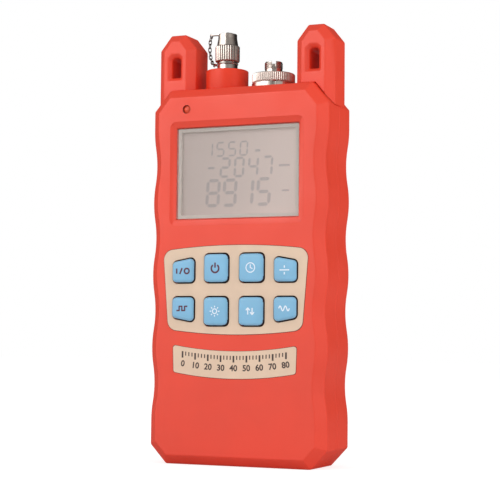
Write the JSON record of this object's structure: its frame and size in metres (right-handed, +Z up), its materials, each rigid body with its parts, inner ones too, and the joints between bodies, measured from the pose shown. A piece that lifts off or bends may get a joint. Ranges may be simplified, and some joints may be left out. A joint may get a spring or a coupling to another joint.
{
  "type": "optical power meter",
  "caption": "Handheld optical power meter with a fault locator light source: scalloped case, display, keypad, capped source port, knurled detector port and strap ears.",
  "frame": {"origin": "centre of the case's footprint with its keys, on the surface it stands on", "axes": "+Z up towards the ports, -Y out of the keypad and display, +X to the right seen from the keypad"},
  "size_m": [0.0828, 0.035, 0.1892],
  "materials": {
    "case_plastic": "satin moulded",
    "plate_plastic": "matte printed film",
    "key_plastic": "satin moulded",
    "window_clear": "clear, flat",
    "display": "reflective liquid crystal panel",
    "white_plastic": "moulded",
    "rubber_mat": "silicone rubber",
    "board": "glass fibre laminate",
    "chip": "moulded",
    "lamp_lens": "tinted resin",
    "nickel": "polished nickel plate",
    "steel": "plain steel",
    "brass": "turned brass",
    "ceramic": "sintered ceramic",
    "cell": "printed sleeve over a can"
  },
  "bodies": {
    "case": {"front_shell": "case_plastic", "rear_shell": "case_plastic", "strap_ear_left": "case_plastic", "strap_ear_right": "case_plastic", "laser_collar": "case_plastic", "display_window": "window_clear", "lcd_panel": "display", "lcd_tray": "white_plastic", "keypad_plate": "plate_plastic", "label_strip": "plate_plastic", "keypad_mat": "rubber_mat", "main_board": "board", "board_chips": "chip", "board_screws": "steel", "indicator_led": "lamp_lens", "battery_springs": "steel", "contact_plates": "nickel", "case_screws": "steel", "laser_neck": "nickel", "laser_sleeve": "ceramic", "laser_module": "brass", "laser_diode": "steel", "neck_ring": "nickel", "cap_chain": "nickel", "detector_base": "nickel", "fc_receptacle": "nickel", "photodiode": "steel", "battery_1": "cell", "battery_2": "cell", "battery_3": "cell"},
    "battery_door": {"battery_door": "case_plastic"},
    "dust_cap": {"dust_cap": "nickel", "chain_tab": "nickel", "cap_rivet": "nickel"},
    "adapter_ring": {"adapter_ring": "nickel"},
    "key_laser": {"key_laser": "key_plastic"},
    "key_power": {"key_power": "key_plastic"},
    "key_auto": {"key_auto": "key_plastic"},
    "key_zero": {"key_zero": "key_plastic"},
    "key_pulse": {"key_pulse": "key_plastic"},
    "key_light": {"key_light": "key_plastic"},
    "key_unit": {"key_unit": "key_plastic"},
    "key_wavelength": {"key_wavelength": "key_plastic"}
  },
  "joints": [
    {"name": "key_laser_press", "type": "slide", "parent": "case", "child": "key_laser", "axis": [0, 1, 0], "range_m": [0, 0.001], "stiffness_N_per_m": 900, "deforming": ["keypad_mat"]},
    {"name": "key_power_press", "type": "slide", "parent": "case", "child": "key_power", "axis": [0, 1, 0], "range_m": [0, 0.001], "stiffness_N_per_m": 900, "deforming": ["keypad_mat"]},
    {"name": "key_auto_press", "type": "slide", "parent": "case", "child": "key_auto", "axis": [0, 1, 0], "range_m": [0, 0.001], "stiffness_N_per_m": 900, "deforming": ["keypad_mat"]},
    {"name": "key_zero_press", "type": "slide", "parent": "case", "child": "key_zero", "axis": [0, 1, 0], "range_m": [0, 0.001], "stiffness_N_per_m": 900, "deforming": ["keypad_mat"]},
    {"name": "key_pulse_press", "type": "slide", "parent": "case", "child": "key_pulse", "axis": [0, 1, 0], "range_m": [0, 0.001], "stiffness_N_per_m": 900, "deforming": ["keypad_mat"]},
    {"name": "key_light_press", "type": "slide", "parent": "case", "child": "key_light", "axis": [0, 1, 0], "range_m": [0, 0.001], "stiffness_N_per_m": 900, "deforming": ["keypad_mat"]},
    {"name": "key_unit_press", "type": "slide", "parent": "case", "child": "key_unit", "axis": [0, 1, 0], "range_m": [0, 0.001], "stiffness_N_per_m": 900, "deforming": ["keypad_mat"]},
    {"name": "key_wavelength_press", "type": "slide", "parent": "case", "child": "key_wavelength", "axis": [0, 1, 0], "range_m": [0, 0.001], "stiffness_N_per_m": 900, "deforming": ["keypad_mat"]},
    {"name": "battery_door_off", "type": "slide", "parent": "case", "child": "battery_door", "axis": [0, 1, 0], "range_m": [0, 0.012]},
    {"name": "dust_cap_off", "type": "slide", "parent": "case", "child": "dust_cap", "axis": [0, 0, 1], "range_m": [0, 0.004], "deforming": ["cap_chain"]},
    {"name": "adapter_ring_turn", "type": "hinge", "parent": "case", "child": "adapter_ring", "pos_m": [0.01035, 0.001, 0.168], "axis": [0, 0, 1], "continuous": true}
  ]
}
